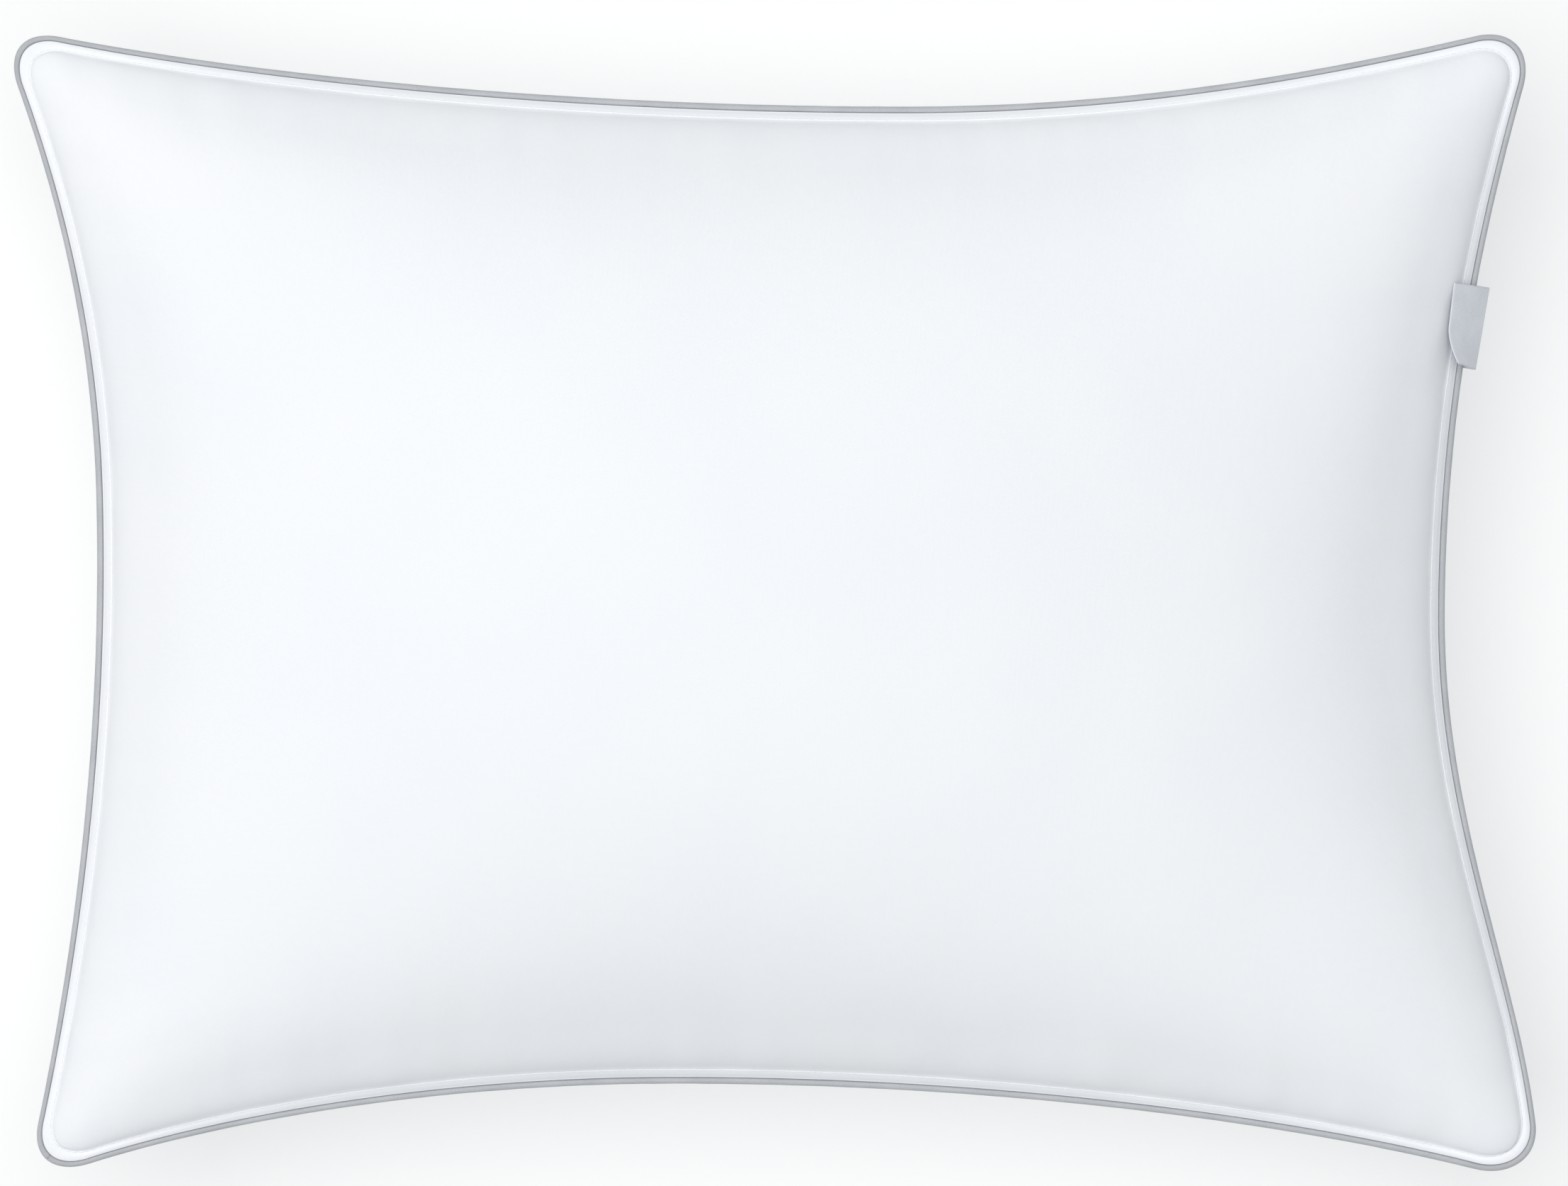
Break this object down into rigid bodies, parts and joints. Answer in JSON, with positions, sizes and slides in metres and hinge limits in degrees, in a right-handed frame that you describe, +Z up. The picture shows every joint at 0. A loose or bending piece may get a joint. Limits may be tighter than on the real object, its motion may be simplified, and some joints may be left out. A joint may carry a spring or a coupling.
{
  "type": "bed pillow",
  "caption": "Plump rectangular bed pillow with pulled-in sides, corded piping, a topstitched flange and a hinged fabric label.",
  "frame": {"origin": "on the floor, under the middle of the pillow's bounding box, as it lies on its back", "axes": "+Z up through the crown, +X along the pillow's length towards the short side that carries the label, +Y along its width towards the long side that the label is nearer to"},
  "size_m": [0.6378, 0.4766, 0.195],
  "materials": {
    "cover": "matte",
    "piping": "matte",
    "cord": "matte",
    "fibre": "matte",
    "thread": "satin",
    "label": "satin"
  },
  "bodies": {
    "pillow": {"top_panel": "cover", "bottom_panel": "cover", "fibre_fill": "fibre", "piping_cord": "cord", "piping_tape": "piping", "seam_thread": "thread", "topstitch_needle_thread": "thread", "topstitch_bobbin_thread": "thread", "overlock_thread": "thread", "closing_stitch": "thread", "label_root": "label"},
    "label": {"label_flap": "label"}
  },
  "joints": [
    {"name": "label_crease", "type": "hinge", "parent": "pillow", "child": "label", "pos_m": [0.2961, 0.1148, 0.08749], "axis": [0.1674, 0.9852, -0.0361], "range_deg": [0, 215]}
  ]
}
